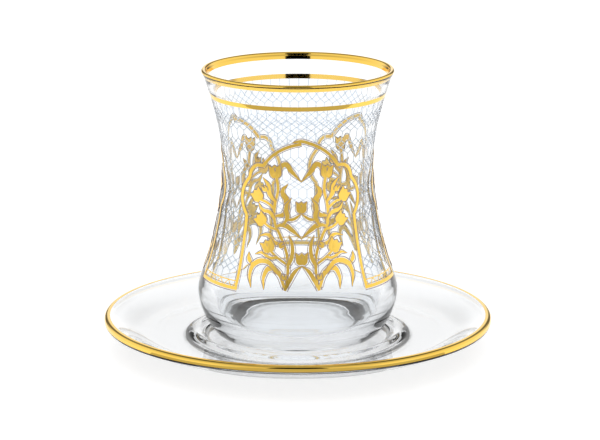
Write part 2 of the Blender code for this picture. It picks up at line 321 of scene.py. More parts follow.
def apply_modifier(piece, kind, **values):
    """Add one modifier, set it and apply it."""
    select_only(piece)
    bpy.ops.object.modifier_add(type=kind)
    modifier = piece.modifiers[-1]
    for key, value in values.items():
        setattr(modifier, key, value)
    bpy.ops.object.modifier_apply(modifier=modifier.name)


def finish_piece(piece, material, slot, *replaced):
    """Give a piece its material and its body, and hide the CAD nodes that it stands for."""
    piece.data.materials.clear()
    piece.data.materials.append(material)
    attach(piece, "root")
    if replaced:
        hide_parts(*replaced)


# Materials.


def new_material(name):
    material = bpy.data.materials.new(name)
    material.use_nodes = True
    return material, material.node_tree.nodes["Principled BSDF"]


def matt_light_material(name, colour, brightness):
    """Matt surface without gloss that also glows white."""
    material, shader = new_material(name)
    shader.inputs["Base Color"].default_value = (*colour, 1.0)
    shader.inputs["Specular IOR Level"].default_value = 0.0
    shader.inputs["Emission Color"].default_value = (1.0, 1.0, 1.0, 1.0)
    shader.inputs["Emission Strength"].default_value = brightness
    return material, shader


def new_group(name, inputs, outputs):
    """A shader node group with named inputs (name, kind, default) and outputs (name, kind)."""
    group = bpy.data.node_groups.new(name, "ShaderNodeTree")
    for label, kind, default in inputs:
        socket = group.interface.new_socket(name=label, in_out="INPUT", socket_type=kind)
        socket.default_value = default
    for label, kind in outputs:
        group.interface.new_socket(name=label, in_out="OUTPUT", socket_type=kind)
    return group, group.nodes.new("NodeGroupInput"), group.nodes.new("NodeGroupOutput")


def mixed(tree, kind, factor, first, second, blend="MIX"):
    """Output of a Mix node of one kind, linked to its three sources."""
    node = tree.nodes.new("ShaderNodeMix")
    node.data_type = kind
    node.blend_type = blend
    for label, source in (("Factor", factor), ("A", first), ("B", second)):
        tree.links.new(source, node.inputs[label])
    return node.outputs["Result"]


def distance_across(tree, place):
    """Distance to the left or right of the middle, from a socket that gives a place."""
    split = tree.nodes.new("ShaderNodeSeparateXYZ")
    tree.links.new(place, split.inputs["Vector"])
    across = tree.nodes.new("ShaderNodeMath")
    across.operation = "ABSOLUTE"
    tree.links.new(split.outputs["X"], across.inputs[0])
    return across.outputs["Value"], split


def grey_ramp(tree, source, stops):
    """Grey ramp of (position, brightness) stops, as an output socket."""
    node = tree.nodes.new("ShaderNodeValToRGB")
    marks = node.color_ramp.elements
    while len(marks) < len(stops):
        marks.new(0.5)
    for mark, (position, value) in zip(marks, stops):
        mark.position = position
        mark.color = (value, value, value, 1.0)
    tree.links.new(source, node.inputs["Fac"])
    return node.outputs["Color"]


def noise_node(tree, scale, detail):
    """Noise on the piece's own place in space."""
    place = tree.nodes.new("ShaderNodeTexCoord")
    noise = tree.nodes.new("ShaderNodeTexNoise")
    noise.inputs["Scale"].default_value = scale
    noise.inputs["Detail"].default_value = detail
    tree.links.new(place.outputs["Object"], noise.inputs["Vector"])
    return noise


def waviness_group():
    """Slow unevenness of a pressed or blown surface, as a height."""
    if "Surface waviness" in bpy.data.node_groups:
        return bpy.data.node_groups["Surface waviness"]
    group, values, result = new_group(
        "Surface waviness",
        [("Scale", "NodeSocketFloat", 60.0)],
        [("Height", "NodeSocketFloat")],
    )
    noise = noise_node(group, 60.0, 1.0)
    group.links.new(values.outputs["Scale"], noise.inputs["Scale"])
    group.links.new(noise.outputs["Fac"], result.inputs["Height"])
    return group


def mottle_group():
    """Slow change between two colours and two roughnesses over a surface."""
    if "Mottle" in bpy.data.node_groups:
        return bpy.data.node_groups["Mottle"]
    group, values, result = new_group(
        "Mottle",
        [
            ("Scale", "NodeSocketFloat", 120.0),
            ("Light", "NodeSocketColor", (1.0, 1.0, 1.0, 1.0)),
            ("Deep", "NodeSocketColor", (0.5, 0.5, 0.5, 1.0)),
            ("Smooth", "NodeSocketFloat", 0.1),
            ("Rough", "NodeSocketFloat", 0.2),
        ],
        [("Color", "NodeSocketColor"), ("Roughness", "NodeSocketFloat")],
    )
    noise = noise_node(group, 120.0, 3.0)
    group.links.new(values.outputs["Scale"], noise.inputs["Scale"])
    share = noise.outputs["Fac"]
    colour = mixed(group, "RGBA", share, values.outputs["Light"], values.outputs["Deep"])
    polish = mixed(group, "FLOAT", share, values.outputs["Smooth"], values.outputs["Rough"])
    group.links.new(colour, result.inputs["Color"])
    group.links.new(polish, result.inputs["Roughness"])
    return group


def add_group(tree, group, **values):
    node = tree.nodes.new("ShaderNodeGroup")
    node.node_tree = group
    for label, value in values.items():
        node.inputs[label].default_value = value
    return node


def add_waviness(material, shader, scale, depth):
    """Bump from the shared waviness."""
    tree = material.node_tree
    wave = add_group(tree, waviness_group(), Scale=scale)
    bump = tree.nodes.new("ShaderNodeBump")
    bump.inputs["Strength"].default_value = 1.0
    bump.inputs["Distance"].default_value = depth
    tree.links.new(wave.outputs["Height"], bump.inputs["Height"])
    tree.links.new(bump.outputs["Normal"], shader.inputs["Normal"])


GLASS_INDEX = 1.5


def glass_material(name, tint, scale, depth):
    """Clear glass with a faint tint and a slow waviness."""
    material, shader = new_material(name)
    shader.inputs["Base Color"].default_value = (*tint, 1.0)
    shader.inputs["Roughness"].default_value = 0.0
    shader.inputs["IOR"].default_value = GLASS_INDEX
    shader.inputs["Transmission Weight"].default_value = 1.0
    add_waviness(material, shader, scale, depth)
    return material


def add_mottle(material, shader, scale, light, deep, smooth, rough):
    """Colour and roughness from the shared mottle."""
    tree = material.node_tree
    mottle = add_group(tree, mottle_group(), Scale=scale, Light=(*light, 1.0), Deep=(*deep, 1.0))
    mottle.inputs["Smooth"].default_value = smooth
    mottle.inputs["Rough"].default_value = rough
    tree.links.new(mottle.outputs["Color"], shader.inputs["Base Color"])
    tree.links.new(mottle.outputs["Roughness"], shader.inputs["Roughness"])


def gold_material(name, finish, smooth, rough, scale):
    """Fired gold: polished metal with slow changes of colour and polish."""
    material, shader = new_material(name)
    shader.inputs["Metallic"].default_value = 1.0
    add_mottle(material, shader, scale, finish.gold, finish.gold_deep, smooth, rough)
    return material


def edge_shade_material(name, colour, alpha):
    """Fine matt line in painted shade that lets some light through: its colour stands for the dark
    refraction at the clear raised borders of the gold.
    """
    material, shader = new_material(name)
    add_mottle(material, shader, 400.0, colour, [c * 0.92 for c in colour], 0.45, 0.7)
    shader.inputs["Alpha"].default_value = alpha
    return material


def frosted_material(name, colour):
    """Fine etched line that scatters the light that passes through it."""
    material, shader = new_material(name)
    shader.inputs["Base Color"].default_value = (*colour, 1.0)
    shader.inputs["Roughness"].default_value = 0.4
    shader.inputs["IOR"].default_value = 1.3
    shader.inputs["Transmission Weight"].default_value = 0.9
    return material


# Sections of the turned pieces.

# Pulls of the curves at the corner of the inner floor and at the heel, and the hollow foot.
CORNER_PULL = 4.0 * MM
CORNER_DROP = 9.0 * MM
HEEL_PULL = 4.1 * MM
HEEL_DROP = 5.0 * MM
FOOT_WIDTH = 3.2 * MM
FOOT_ROUND = 1.2 * MM
FOOT_SLOPE = 1.8 * MM
FOOT_HOLLOW = 0.8 * MM


def glass_section(sizes):
    """Section of the tea glass: up its inside, over the lip, down its outside to the foot."""
    inside = inside_stations(sizes)
    outside = outside_stations(sizes)
    skin = bpy.context.scene.tea_glass.gold.coat
    inner_bulge = (sizes.bulge_radius - sizes.bulge_wall, sizes.inner_bulge_height)
    corner_start = (sizes.inner_floor_radius, sizes.inner_floor_height)
    corner_low = (sizes.inner_floor_radius + CORNER_PULL, sizes.inner_floor_height)
    corner_high = (inner_bulge[0], sizes.inner_bulge_height - CORNER_DROP)
    centre = lip_centre(sizes)
    lip_foot = centre[1]

    points = flat_run(sizes.inner_floor_height, sizes.inner_floor_radius, (0.0, 0.25, 0.5, 0.75, 1.0))
    points += bezier(corner_start, corner_low, corner_high, inner_bulge, 18)
    points += [(side_radius(inside, h), h) for h in spaced(sizes.inner_bulge_height, lip_foot, 44)[1:-1]]
    points += arc(centre, sizes.rim_wall / 2 - skin, 180, 0, 14)
    points += [(side_radius(outside, h), h) for h in spaced(lip_foot, sizes.bulge_height, 46)[1:-1]]
    bulge = (sizes.bulge_radius, sizes.bulge_height)
    bulge_pull = (sizes.bulge_radius, sizes.bulge_height - HEEL_DROP)
    foot_pull = (sizes.foot_radius + HEEL_PULL, GLASS_FOOT)
    points.append(bulge)
    points += bezier(bulge, bulge_pull, foot_pull, (sizes.foot_radius, GLASS_FOOT), 18)
    edge = sizes.foot_radius - FOOT_WIDTH
    roof = GLASS_FOOT + FOOT_HOLLOW
    foot_end = (edge + FOOT_ROUND, GLASS_FOOT)
    points.append(foot_end)
    points += bezier(foot_end, (edge, GLASS_FOOT), (edge, roof), (edge - FOOT_SLOPE, roof), 6)
    points += flat_run(roof, edge - FOOT_SLOPE, (0.66, 0.33, 0.0))
    return points


RING_HOLLOW = 1.5 * MM
EDGE_ROUND = 1.25 * MM


def saucer_section(sizes, gold):
    """Section of the saucer: out along its top, round the edge, back along its underside."""
    skin = gold.coat
    edge = SAUCER_EDGE - skin
    top = SAUCER_TOP - skin
    seat = sizes.seat_height
    belly = sizes.well_height - sizes.plate
    ring_outer = sizes.ring_radius + sizes.ring_width / 2
    ring_inner = sizes.ring_radius - sizes.ring_width / 2
    half_flat = sizes.ring_flat / 2
    edge_foot = SAUCER_TOP - sizes.edge_thickness

    points = flat_run(seat, sizes.seat_radius, (0.0, 0.25, 0.5, 0.75))
    seat_end = (sizes.seat_radius - 1.0 * MM, seat)
    points.append(seat_end)
    ridge = (sizes.ring_radius - 0.6 * MM, seat + 1.55 * MM)
    points += bezier(seat_end, (seat_end[0] + 1.2 * MM, seat), (ridge[0] - 1.2 * MM, ridge[1]), ridge, 8)
    valley = (sizes.ring_radius + 3.4 * MM, seat + 0.55 * MM)
    points += bezier(ridge, (ridge[0] + 1.2 * MM, ridge[1]), (valley[0] - 1.4 * MM, valley[1]), valley, 8)
    well = (sizes.well_radius, sizes.well_height)
    well_pull = (well[0] - 4 * MM, well[1] - 0.3 * MM)
    points += bezier(valley, (valley[0] + 3 * MM, valley[1]), well_pull, well, 8)
    lip_start = (SAUCER_EDGE - gold.saucer_width, top)
    rise_low = (well[0] + 5.0 * MM, well[1] + 0.5 * MM)
    rise_high = (lip_start[0] - 4.5 * MM, top - 1.9 * MM)
    points += bezier(well, rise_low, rise_high, lip_start, 18)
    points += saucer_edge_points(edge, top, gold)
    under = (edge - 0.5 * MM, edge_foot)
    points += bezier(points[-1], (edge, edge_foot + 0.5 * MM), (edge - 0.1 * MM, edge_foot), under, 4)
    drop = (edge - 2.0 * MM, edge_foot - 0.5 * MM)
    points.append(drop)
    drop_high = (edge - 6.0 * MM, edge_foot - 1.8 * MM)
    drop_low = (well[0] + 5.5 * MM, belly + 0.2 * MM)
    under_well = (well[0], belly)
    points += bezier(drop, drop_high, drop_low, under_well, 14)
    step = (ring_outer + 0.8 * MM, belly - 0.5 * MM)
    under_pull = (well[0] - 3 * MM, belly - 0.1 * MM)
    points += bezier(under_well, under_pull, (step[0] + 2 * MM, step[1]), step, 5)
    foot = (sizes.ring_radius + half_flat, 0.0)
    points += bezier(step, (step[0] - 1.2 * MM, step[1]), (foot[0] + 1.2 * MM, 0.0), foot, 8)
    inner_foot = (sizes.ring_radius - half_flat, 0.0)
    points.append(inner_foot)
    under_seat = (ring_inner - 0.8 * MM, RING_HOLLOW)
    points += bezier(inner_foot, (inner_foot[0] - 1.0 * MM, 0.0), (ring_inner, RING_HOLLOW), under_seat, 8)
    points += flat_run(RING_HOLLOW, under_seat[0], (0.66, 0.33, 0.0))
    return points


def saucer_edge_points(edge, top, gold):
    """Top and rounded outside of the saucer's rim, down to where its gold ends."""
    centre = (edge - EDGE_ROUND, top - EDGE_ROUND)
    points = [(centre[0], top)]
    points += arc(centre, EDGE_ROUND, 90, 0, 10)[1:]
    points.append((edge, SAUCER_TOP - gold.saucer_drop))
    return points


def closed_skin(outer, inner):
    """Section of a thin skin: along its outer face and back along its inner face, closed."""
    return outer + inner[::-1] + outer[:1]


def lip_gold_section(sizes, gold):
    """Gold that wraps the lip, inside and outside."""
    centre = lip_centre(sizes)

    def skin(depth):
        inner_foot = LIP_TOP - gold.lip_inside
        outer_foot = LIP_TOP - gold.lip_outside
        radius = sizes.rim_wall / 2 - gold.coat - depth
        up = [(side_radius(inside_stations(sizes), h) + gold.coat + depth, h)
              for h in spaced(inner_foot, centre[1], 5)[:-1]]
        over = arc(centre, radius, 180, 0, 14)
        down = [(side_radius(outside_stations(sizes), h) - gold.coat - depth, h)
                for h in spaced(centre[1], outer_foot, 5)[1:]]
        return up + over + down

    return closed_skin(skin(-gold.coat), skin(gold.sink))


def ring_gold_section(sizes, gold):
    """Thin second gold band."""
    outside = outside_stations(sizes)
    heights = spaced(RING_TOP, RING_FOOT, 5)
    rounding = (0.0, 1.0, 1.0, 1.0, 1.0, 0.0)
    outer = [(side_radius(outside, h) + gold.coat * full, h) for h, full in zip(heights, rounding)]
    inner = [(side_radius(outside, h) - gold.sink, h) for h in heights]
    return closed_skin(outer, inner)


def saucer_gold_section(gold):
    """Gold on the top and the outside of the saucer's rim."""

    def skin(depth):
        edge = SAUCER_EDGE - gold.coat - depth
        top = SAUCER_TOP - gold.coat - depth
        return [(SAUCER_EDGE - gold.saucer_width, top)] + saucer_edge_points(edge, top, gold)

    return closed_skin(skin(-gold.coat), skin(gold.sink))


# Flat line work, drawn at true width for the drawing radius and then laid on the glass.


def draw_strokes(name, strokes, resolution=8):
    """Flat ribbons along smooth curves through (across, height, half width), all in millimetres."""
    to_object_mode()
    bpy.ops.curve.primitive_bezier_curve_add(location=(0, 0, 0))
    piece = bpy.context.object
    piece.name = name
    shape = piece.data
    shape.splines.clear()
    shape.dimensions = "3D"
    shape.twist_mode = "Z_UP"
    shape.resolution_u = resolution
    shape.extrude = MM
    for stroke in strokes:
        spline = shape.splines.new("BEZIER")
        spline.bezier_points.add(len(stroke) - 1)
        spline.radius_interpolation = "LINEAR"
        spline.tilt_interpolation = "LINEAR"
        for knot, (across, height, half) in zip(spline.bezier_points, stroke):
            knot.co = (across * MM, height * MM, 0)
            knot.handle_left_type = "AUTO"
            knot.handle_right_type = "AUTO"
            knot.radius = half
            knot.tilt = math.radians(90)
    bpy.ops.object.convert(target="MESH")
    piece.data.name = name
    piece.rotation_euler = (math.radians(90), 0, 0)
    apply_place(piece)
    return piece


def wrap_form():
    """Outside of the glass alone, as the form that flat drawings are pressed on to."""
    settings = bpy.context.scene.tea_glass
    outside = outside_stations(settings.glass)
    low = settings.glass.bulge_height
    points = [(side_radius(outside, h), h) for h in spaced(low, LIP_TOP, 90)]
    return turned("wrap_form", points, 240, 180)


def lay_on_glass(piece, form, low, high):
    """Bend a flat drawing round the glass, press it on to the glass and give it thickness.

    The thickness reaches from low to high, measured outwards from the surface of the glass.
    """
    radius = bpy.context.scene.tea_glass.ornament.flat_radius
    across = [corner.co.x for corner in piece.data.vertices]
    span = max(across) - min(across)
    apply_modifier(piece, "SIMPLE_DEFORM", deform_method="BEND", deform_axis="Z", angle=span / radius)
    piece.location.y = -radius
    apply_place(piece)
    apply_modifier(
        piece,
        "SHRINKWRAP",
        wrap_method="PROJECT",
        use_negative_direction=True,
        use_positive_direction=True,
        target=form,
        offset=0.0,
    )
    thickness = high - low
    apply_modifier(piece, "SOLIDIFY", thickness=thickness, offset=(high + low) / thickness)
    select_only(piece)
    bpy.ops.object.shade_smooth_by_angle(angle=math.radians(30))
    return piece


def face_front(piece):
    """Turn every face of a flat drawing towards the front."""
    select_only(piece)
    for face in piece.data.polygons:
        face.select = face.normal.y > 0
    bpy.ops.object.mode_set(mode="EDIT")
    bpy.ops.mesh.flip_normals()
    bpy.ops.object.mode_set(mode="OBJECT")


def join_pieces(name, pieces):
    select_only(*pieces)
    if len(pieces) > 1:
        bpy.ops.object.join()
    joined = bpy.context.object
    joined.name = name
    joined.data.name = name
    return joined


def repeat_round(piece, count, first_turn):
    """Copy a piece round the Z axis, each copy with its own mesh, and join the copies."""
    copies = [piece]
    for index in range(1, count):
        select_only(piece)
        bpy.ops.object.duplicate()
        copy = bpy.context.object
        copy.rotation_euler.z = TURN * index / count
        copies.append(copy)
    for copy in copies:
        copy.rotation_euler.z += first_turn
        apply_place(copy)
    return join_pieces(piece.name, copies)


# Lowest and highest reach of the line work from the surface of the glass.
GOLD_ROOT = -0.08 * MM
FINE_LINE_TOP = 0.05 * MM
SPRAY_TOP = 0.062 * MM
EDGE_ROOT = 0.03 * MM
EDGE_TOP = 0.038 * MM
NET_ROOT = 0.01 * MM
NET_TOP = 0.03 * MM

LEVEL_STEP = 0.045 * MM
SHEETS = 3
SHEET_STEP = 0.003 * MM


def raised_work(name, levels, form, low, high):
    """Raised line work from a list of strokes for each level, each level passing over the one before.

    The strokes of a level are shared out to thin sheets, so that no two faces coincide.
    """
    layers = []
    for level, strokes in enumerate(levels):
        for sheet in range(min(SHEETS, len(strokes))):
            layer = draw_strokes(f"{name}_{level}_{sheet}", strokes[sheet::SHEETS])
            face_front(layer)
            top = high + level * LEVEL_STEP + sheet * SHEET_STEP
            layers.append(lay_on_glass(layer, form, low - (level * SHEETS + sheet) * SHEET_STEP / 3, top))
    return join_pieces(name, layers)


def edge_levels(levels, gap, width):
    """Thin strokes beside every stroke, a clear gap away from it, that meet beyond a pointed end."""
    return [[line for stroke in strokes for line in edge_lines(stroke, gap, width)] for strokes in levels]


def edge_lines(stroke, gap, width):
    lines = []
    for side in (1, -1):
        line = []
        for index, (x, y, half) in enumerate(stroke):
            before = stroke[max(index - 1, 0)]
            after = stroke[min(index + 1, len(stroke) - 1)]
            size = math.dist(before[:2], after[:2])
            way = ((after[0] - before[0]) / size, (after[1] - before[1]) / size)
            reach = side * (half + gap + width / 2)
            line.append((x - way[1] * reach, y + way[0] * reach, width / 2))
        if stroke[-1][2] < 0.2:
            line[-1] = (x + way[0] * gap, y + way[1] * gap, width / 2)
        lines.append(line)
    return lines


def both_sides(strokes):
    """Strokes of the right half together with their mirror images on the left."""
    return strokes + [[(-x, y, half) for x, y, half in stroke] for stroke in strokes]


def placed(strokes, across, height, degrees, size=1.0):
    """Strokes of a motif, sized, turned clockwise and put at their place."""
    angle = math.radians(degrees)
    result = []
    for stroke in strokes:
        result.append([
            (
                across + size * (x * math.cos(angle) + y * math.sin(angle)),
                height + size * (y * math.cos(angle) - x * math.sin(angle)),
                size * half,
            )
            for x, y, half in stroke
        ])
    return result


def tulip():
    """Open tulip standing on its base at the origin, 3.8 mm tall: one middle petal and two that flare."""
    side = [(0.25, 0.0, 0.6), (0.95, 1.0, 1.0), (1.25, 2.5, 0.85), (2.15, 4.0, 0.08)]
    return [
        side,
        [(-x, y, half) for x, y, half in side],
        [(0.0, -0.1, 0.7), (0.0, 1.2, 1.45), (0.0, 2.8, 1.45), (0.0, 4.0, 0.1)],
    ]


def bud():
    """Closed bud of two petals, 2.6 mm tall."""
    return [
        [(0.0, 0.0, 0.25), (0.35, 1.0, 0.55), (0.1, 2.6, 0.05)],
        [(-0.1, 0.0, 0.2), (-0.55, 0.9, 0.36), (-0.7, 1.9, 0.05)],
    ]


LEAF_FULLNESS = 1.15


def leaf(width, *points):
    """Leaf along its points: thin at its foot, full before its middle, pointed at its end."""
    last = len(points) - 1
    stroke = []
    for index, (x, y) in enumerate(points):
        t = index / last
        fullness = math.sin(math.pi * t ** 0.8) ** 0.7 if 0 < t < 1 else 0.0
        half = LEAF_FULLNESS * width / 2 * max(0.12, fullness)
        stroke.append((x, y, half if index else 0.34))
    return stroke


def leaves(*rows):
    return [leaf(*row) for row in rows]


def stem(points, width=0.8):
    return [[(x, y, width / 2) for x, y in points]]


def spray_levels():
    """Tulip spray that fills an arch: stems, low leaves, high leaves, and the flowers on top."""
    root = (4.7, 26.7)
    climb = [(4.1, 32.0), (4.5, 37.5), (6.6, 43.0), (8.8, 47.5), (9.0, 53.0), (8.0, 58.0), (8.6, 62.2)]
    stems = stem([root] + climb, 0.95)
    stems += stem([(4.3, 34.5), (7.4, 36.6), (9.8, 38.6)])
    stems += stem([(7.6, 45.2), (10.6, 46.0), (12.6, 47.2)])
    stems += stem([(9.1, 51.8), (11.8, 53.6), (14.6, 54.4)])
    low_leaves = leaves(
        (1.2, root, (3.4, 30.0), (1.9, 32.6), (0.0, 34.2)),
        (1.5, (5.0, 27.6), (6.8, 32.0), (9.4, 33.3), (11.0, 31.0), (10.7, 26.8)),
        (1.0, (7.6, 36.6), (9.9, 36.4), (12.4, 37.8), (14.6, 37.2)),
        (1.1, (8.9, 48.5), (10.8, 50.6), (13.4, 51.2), (15.0, 53.4)),
        (1.7, (8.7, 49.5), (5.4, 50.6), (5.0, 54.6), (6.4, 57.4), (4.6, 59.8)),
        (1.5, (8.2, 46.4), (5.6, 46.8), (3.2, 45.4), (0.0, 42.6)),
        (1.3, (14.8, 33.6), (16.6, 35.4), (16.9, 37.4)),
    )
    high_leaves = leaves(
        (1.15, (4.4, 33.5), (3.1, 36.6), (2.9, 40.4), (4.0, 43.6)),
        (1.4, (7.0, 32.0), (10.6, 35.2), (14.2, 34.4), (15.6, 31.2), (14.6, 27.0)),
        (1.2, (5.6, 41.0), (8.6, 41.2), (10.6, 43.4), (13.8, 43.0)),
        (1.35, (8.9, 54.0), (11.0, 56.6), (11.4, 59.0), (13.4, 61.4)),
        (1.5, (7.8, 62.6), (5.6, 66.2), (3.4, 64.0), (0.0, 60.6)),
        (1.25, (6.0, 46.8), (4.6, 49.4), (5.2, 52.2), (3.4, 55.4)),
        (0.9, (4.8, 48.6), (3.0, 48.6), (1.4, 49.4), (0.0, 50.6)),
    )
    flowers = placed(tulip(), 8.7, 61.9, 8, 0.98)
    flowers += placed(tulip(), 9.7, 38.4, 30, 0.95)
    flowers += placed(tulip(), 12.5, 46.9, 48, 0.92)
    flowers += placed(tulip(), 14.4, 54.2, 40, 0.95)
    flowers += placed(bud(), 12.0, 57.2, 50, 1.0)
    flowers += placed(bud(), 6.8, 39.6, -30, 0.9)
    flowers += placed(bud(), 4.6, 30.0, 32, 0.8)
    middle = placed(tulip(), 0.0, 34.6, 0, 0.9) + placed(tulip(), 0.0, 50.8, 0, 0.85)
    return [*map(both_sides, (stems, low_leaves, high_leaves)), both_sides(flowers) + middle]


def flat_angle(angle):
    """Distance across the flat drawing, in millimetres, of an angle round the glass."""
    return angle * bpy.context.scene.tea_glass.ornament.flat_radius / MM


def lobe(start, end, bulge, steps):
    """Arc between two points (across, height), bulging to the right of its way by the amount given."""
    way = (end[0] - start[0], end[1] - start[1])
    size = math.hypot(*way)
    right = (way[1] / size, -way[0] / size)
    points = []
    for step in range(steps + 1):
        t = step / steps
        rise = 4 * t * (1 - t) * bulge
        points.append((start[0] + way[0] * t + right[0] * rise, start[1] + way[1] * t + right[1] * rise))
    return points


def arch_runs(sizes):
    """Right half of an arch as its straight leg, side lobe, shoulder lobe and crown lobe."""
    leg = flat_angle(sizes.leg_angle)
    foot = sizes.leg_foot / MM
    leg_top = sizes.leg_top / MM
    lobe_top = (leg - 0.5, sizes.lobe_top / MM)
    cusp = (flat_angle(sizes.cusp_angle), sizes.cusp_height / MM)
    apex = (0.0, sizes.apex_height / MM)
    return [
        [(leg, h) for h in spaced(foot, leg_top, 4)],
        lobe((leg, leg_top), lobe_top, 2.9, 6),
        lobe(lobe_top, cusp, 1.7, 5),
        lobe(cusp, apex, 1.5, 6),
    ]


def arch_levels(sizes, half):
    """Gold lines of one arch. Its right limb passes over the end of its left one at the crown."""
    right = [[(x, y, half) for x, y in run] for run in arch_runs(sizes)]
    left = [[(-x, y, half) for x, y, half in stroke] for stroke in right]
    crown = [(x, y + 0.9 * (1 - x / right[-1][0][0]), half) for x, y, half in right[-1]]
    crown += [(-1.4, crown[-1][1] - 0.1, half * 0.8), (-2.7, crown[-1][1] - 0.45, half * 0.3)]
    return [right[:-1] + left, [crown]]


# Height of the zigzag above the feet of the panels, in millimetres.
ZIGZAG_HEIGHT = 2.2


def panel_strokes(sizes, half):
    """Line along the foot of the panel to the right of an arch, and the fine zigzag and line above it."""
    start = flat_angle(sizes.leg_angle)
    middle = flat_angle(math.pi / sizes.arches)
    low = sizes.leg_foot / MM
    high = low + ZIGZAG_HEIGHT
    count = 5
    foot = [[(x, low, half) for x in spaced(start - half, middle, 4)]]
    fine = [[(x, high, half * 0.3) for x in spaced(start, middle, 4)]]
    for index in range(count):
        left = start + (middle - start) * index / count
        right = start + (middle - start) * (index + 1) / count
        heights = (low, high) if index % 2 else (high, low)
        fine.append([(left, heights[0], half * 0.24), (right, heights[1], half * 0.24)])
    return both_sides(foot), both_sides(fine)


def arch_outline(sizes):
    """Closed outline of one arch as (across, height), for telling what lies inside it."""
    right = [point for run in arch_runs(sizes) for point in run]
    return right + [(-x, y) for x, y in reversed(right)]


def is_inside(outline, x, y):
    """Whether a point lies inside a closed outline."""
    found = False
    before = outline[-1]
    for point in outline:
        if (point[1] > y) != (before[1] > y):
            cross = before[0] + (y - before[1]) * (point[0] - before[0]) / (point[1] - before[1])
            if x < cross:
                found = not found
        before = point
    return found


def net_strokes(sizes):
    """Uprights and slants of one line of the net, from its top to the feet of the panels."""
    spacing = flat_angle(TURN / sizes.net_lines)
    half = sizes.net_width / MM / 2
    low = sizes.leg_foot / MM + ZIGZAG_HEIGHT
    top = RING_FOOT / MM
    strokes = []
    while top > low:
        bend = top - sizes.net_upright / MM
        foot = bend - sizes.net_slant / MM
        strokes.append([(0.0, top, half), (0.0, bend, half)])
        strokes.append([(0.0, bend, half), (2 * spacing, foot, half)])
        strokes.append([(0.0, bend, half), (-2 * spacing, foot, half)])
        top = foot
    return strokes


# Operators, one for each group of pieces.


class TEAGLASS_OT_add_saucer(bpy.types.Operator):
    """Turn the clear saucer with its seat and foot ring"""

    bl_idname = "tea_glass.add_saucer"
    bl_label = "Saucer"

    def execute(self, context):
        settings = context.scene.tea_glass
        piece = turned("clear_saucer", saucer_section(settings.saucer, settings.gold), settings.glass.steps)
        material = glass_material("saucer glass", settings.finish.saucer, 45.0, 0.00003)
        finish_piece(piece, material, "saucer_glass", "saucer")
        return {"FINISHED"}


class TEAGLASS_OT_add_glass(bpy.types.Operator):
    """Turn the clear tea glass with its heavy bottom"""

    bl_idname = "tea_glass.add_glass"
    bl_label = "Tea glass"

    def execute(self, context):
        settings = context.scene.tea_glass
        piece = turned("clear_tea_glass", glass_section(settings.glass), settings.glass.steps)
        material = glass_material("tea glass", settings.finish.glass, 60.0, 0.00003)
        finish_piece(piece, material, "clear_glass", "tea_glass")
        return {"FINISHED"}


class TEAGLASS_OT_add_gold_bands(bpy.types.Operator):
    """Turn the gold on the lip, the thin band below it and the gold on the saucer's rim"""

    bl_idname = "tea_glass.add_gold_bands"
    bl_label = "Gold bands"

    def execute(self, context):
        settings = context.scene.tea_glass
        glass, gold, finish = settings.glass, settings.gold, settings.finish
        material = gold_material("band gold", finish, 0.05, 0.10, 70.0)
        bands = (
            ("lip_gilding", lip_gold_section(glass, gold), "gold_lip"),
            ("second_gilding", ring_gold_section(glass, gold), "gold_ring"),
            ("saucer_gilding", saucer_gold_section(gold), "gold_saucer_rim"),
        )
        for name, section, node in bands:
            finish_piece(turned(name, section, glass.steps), material, "gold", node)
        return {"FINISHED"}


class TEAGLASS_OT_add_ornament(bpy.types.Operator):
    """Lay the gold arches and tulip sprays on the glass, with lines of painted shade along their edges"""

    bl_idname = "tea_glass.add_ornament"
    bl_label = "Arches and sprays"

    def execute(self, context):
        settings = context.scene.tea_glass
        sizes, gold, finish = settings.ornament, settings.gold, settings.finish
        form = wrap_form()
        half = gold.line / MM / 2
        frame_lines = arch_levels(sizes, half)
        foot_lines, fine_lines = panel_strokes(sizes, half)
        frame_lines[0] += foot_lines
        spray = spray_levels()
        bright = gold_material("raised gold", finish, 0.16, 0.28, 160.0)
        # The edge lines are painted shade: a dark matt colour for the refraction at the clear raised
        # borders of the gold.
        pale = edge_shade_material("painted shade edge", finish.pale, 0.9)
        gap = gold.gap / MM
        width = gold.edge_shade_width / MM

        lines = join_pieces(
            "arch_gilding",
            [
                raised_work("gold_lines", frame_lines, form, GOLD_ROOT, gold.relief),
                raised_work("gold_fine_lines", [fine_lines], form, GOLD_ROOT, FINE_LINE_TOP),
            ],
        )
        sprays = raised_work("spray_gilding", spray, form, GOLD_ROOT, SPRAY_TOP)
        edges = join_pieces(
            "painted_shade_edges",
            [
                raised_work(name, edge_levels(levels, gap, width), form, EDGE_ROOT, EDGE_TOP)
                for name, levels in (("edge_lines", frame_lines), ("edge_spray", spray))
            ],
        )
        finish_piece(repeat_round(lines, sizes.arches, sizes.arch_turn), bright, "gold", "gold_arch_frame")
        finish_piece(repeat_round(sprays, sizes.arches, sizes.arch_turn), bright, "gold")
        finish_piece(repeat_round(edges, sizes.arches, sizes.arch_turn), pale, "clear_glass")
        bpy.data.objects.remove(form, do_unlink=True)
        return {"FINISHED"}


